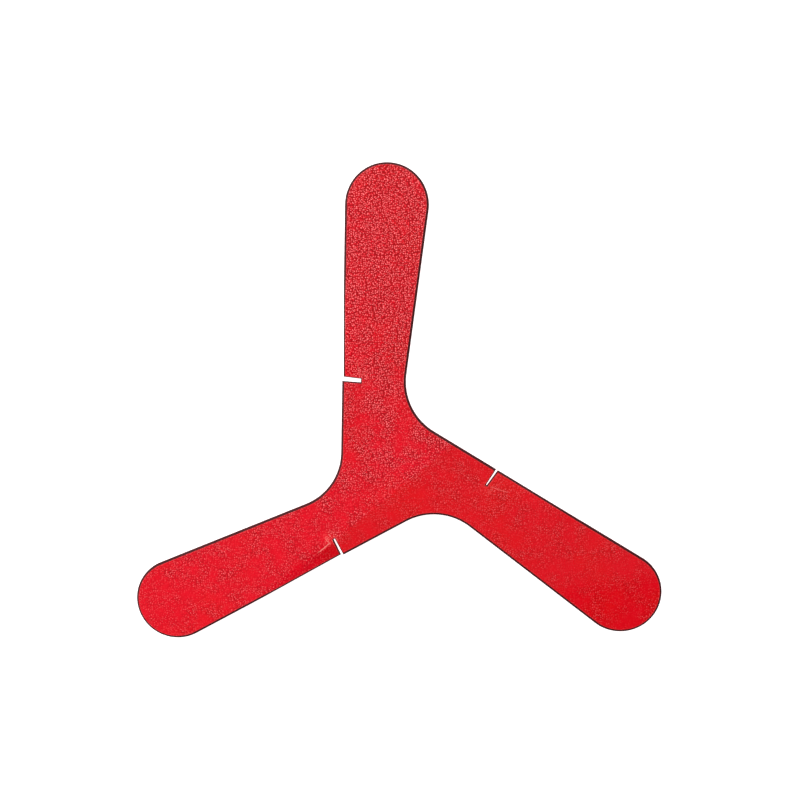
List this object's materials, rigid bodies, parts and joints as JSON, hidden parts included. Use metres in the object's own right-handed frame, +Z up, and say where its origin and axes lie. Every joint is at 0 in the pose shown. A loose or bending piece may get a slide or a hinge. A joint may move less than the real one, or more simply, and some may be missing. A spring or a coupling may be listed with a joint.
{
  "type": "three-bladed boomerang",
  "caption": "Flat three-bladed throwing boomerang cut from thin grained plastic sheet, with a slit and a bendable flap on each blade's leading edge.",
  "frame": {"origin": "centre of the hub, on the flat underside of the sheet", "axes": "+Z up, out of the grained upper face; +Y from the hub's centre to blade a's tip; +X to the right, across the span from blade b's tip to blade c's tip. Blades a, b and c follow each other counter-clockwise seen from above, which is the way the boomerang spins."},
  "size_m": [0.165, 0.1463, 0.0026],
  "materials": {
    "red_sheet": "satin"
  },
  "bodies": {
    "hub": {"hub": "red_sheet"},
    "arm_a": {"arm_a": "red_sheet"},
    "blade_a": {"blade_a": "red_sheet"},
    "flap_a": {"flap_a": "red_sheet"},
    "arm_b": {"arm_b": "red_sheet"},
    "blade_b": {"blade_b": "red_sheet"},
    "flap_b": {"flap_b": "red_sheet"},
    "arm_c": {"arm_c": "red_sheet"},
    "blade_c": {"blade_c": "red_sheet"},
    "flap_c": {"flap_c": "red_sheet"}
  },
  "joints": [
    {"name": "bend_a", "type": "hinge", "parent": "hub", "child": "arm_a", "pos_m": [-0.00651, 0.01725, 0.0005], "axis": [0.9948, -0.1022, 0], "range_deg": [-30, 30], "stiffness_Nm_per_rad": 0.15},
    {"name": "twist_a", "type": "hinge", "parent": "arm_a", "child": "blade_a", "pos_m": [-0.00549, 0.0272, 0.0005], "axis": [0.1022, 0.9948, 0], "range_deg": [-12, 12], "stiffness_Nm_per_rad": 0.1},
    {"name": "crease_a", "type": "hinge", "parent": "blade_a", "child": "flap_a", "pos_m": [-0.00938, 0.0276, 0.0005], "axis": [-0.1457, 0.9893, 0], "range_deg": [-22, 58]},
    {"name": "bend_b", "type": "hinge", "parent": "hub", "child": "arm_b", "pos_m": [-0.01169, -0.01426, 0.0005], "axis": [-0.4089, 0.9126, 0], "range_deg": [-30, 30], "stiffness_Nm_per_rad": 0.15},
    {"name": "twist_b", "type": "hinge", "parent": "arm_b", "child": "blade_b", "pos_m": [-0.02082, -0.01835, 0.0005], "axis": [-0.9126, -0.4089, 0], "range_deg": [-12, 12], "stiffness_Nm_per_rad": 0.1},
    {"name": "crease_b", "type": "hinge", "parent": "blade_b", "child": "flap_b", "pos_m": [-0.01921, -0.02193, 0.0005], "axis": [-0.7839, -0.6209, 0], "range_deg": [-25, 55]},
    {"name": "bend_c", "type": "hinge", "parent": "hub", "child": "arm_c", "pos_m": [0.0182, -0.00299, 0.0005], "axis": [-0.5859, -0.8104, 0], "range_deg": [-30, 30], "stiffness_Nm_per_rad": 0.15},
    {"name": "twist_c", "type": "hinge", "parent": "arm_c", "child": "blade_c", "pos_m": [0.0263, -0.00885, 0.0005], "axis": [0.8104, -0.5859, 0], "range_deg": [-12, 12], "stiffness_Nm_per_rad": 0.1},
    {"name": "crease_c", "type": "hinge", "parent": "blade_c", "child": "flap_c", "pos_m": [0.0286, -0.00568, 0.0005], "axis": [0.9296, -0.3685, 0], "range_deg": [-31, 49]}
  ]
}
